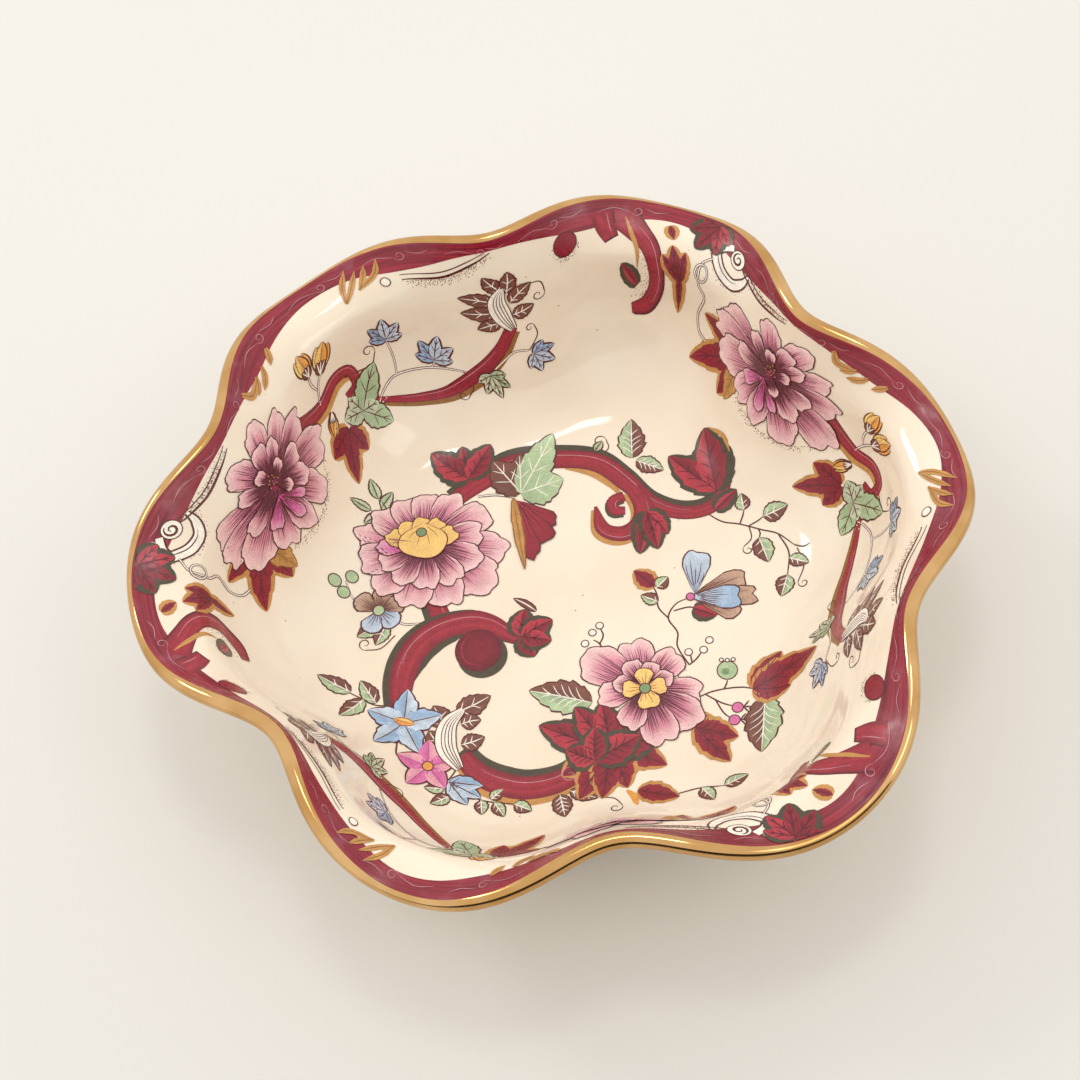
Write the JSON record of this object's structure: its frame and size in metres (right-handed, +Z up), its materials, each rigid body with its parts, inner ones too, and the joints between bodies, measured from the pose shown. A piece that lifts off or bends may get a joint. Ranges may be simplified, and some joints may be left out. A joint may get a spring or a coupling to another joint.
{
  "type": "porcelain serving bowl",
  "caption": "Round lobed serving bowl with a broad scalloped rim, a foot ring, a gilded edge and printed floral sprays inside.",
  "frame": {"origin": "middle of the bowl on the surface that the foot ring stands on", "axes": "+Z up out of the bowl, +X through the middle of one lobe, -Y through a notch between two lobes"},
  "size_m": [0.2518, 0.2345, 0.0682],
  "materials": {
    "glazed_cream": "glossy warm cream glaze",
    "bare_foot": "wiped, unglazed biscuit",
    "bright_gold": "fired, slightly worn gilding",
    "wine_enamel": "glossy wine-red ground with a stippled edge",
    "printed_ink": "glossy printed flowers and leaves in several colours"
  },
  "bodies": {
    "root": {"bowl_body": "glazed_cream", "foot_ring": "bare_foot", "gilt_rim": "bright_gold", "enamel_border": "wine_enamel", "centre_spray": "printed_ink", "wall_spray_1": "printed_ink", "wall_spray_2": "printed_ink", "wall_spray_3": "printed_ink"}
  },
  "joints": []
}
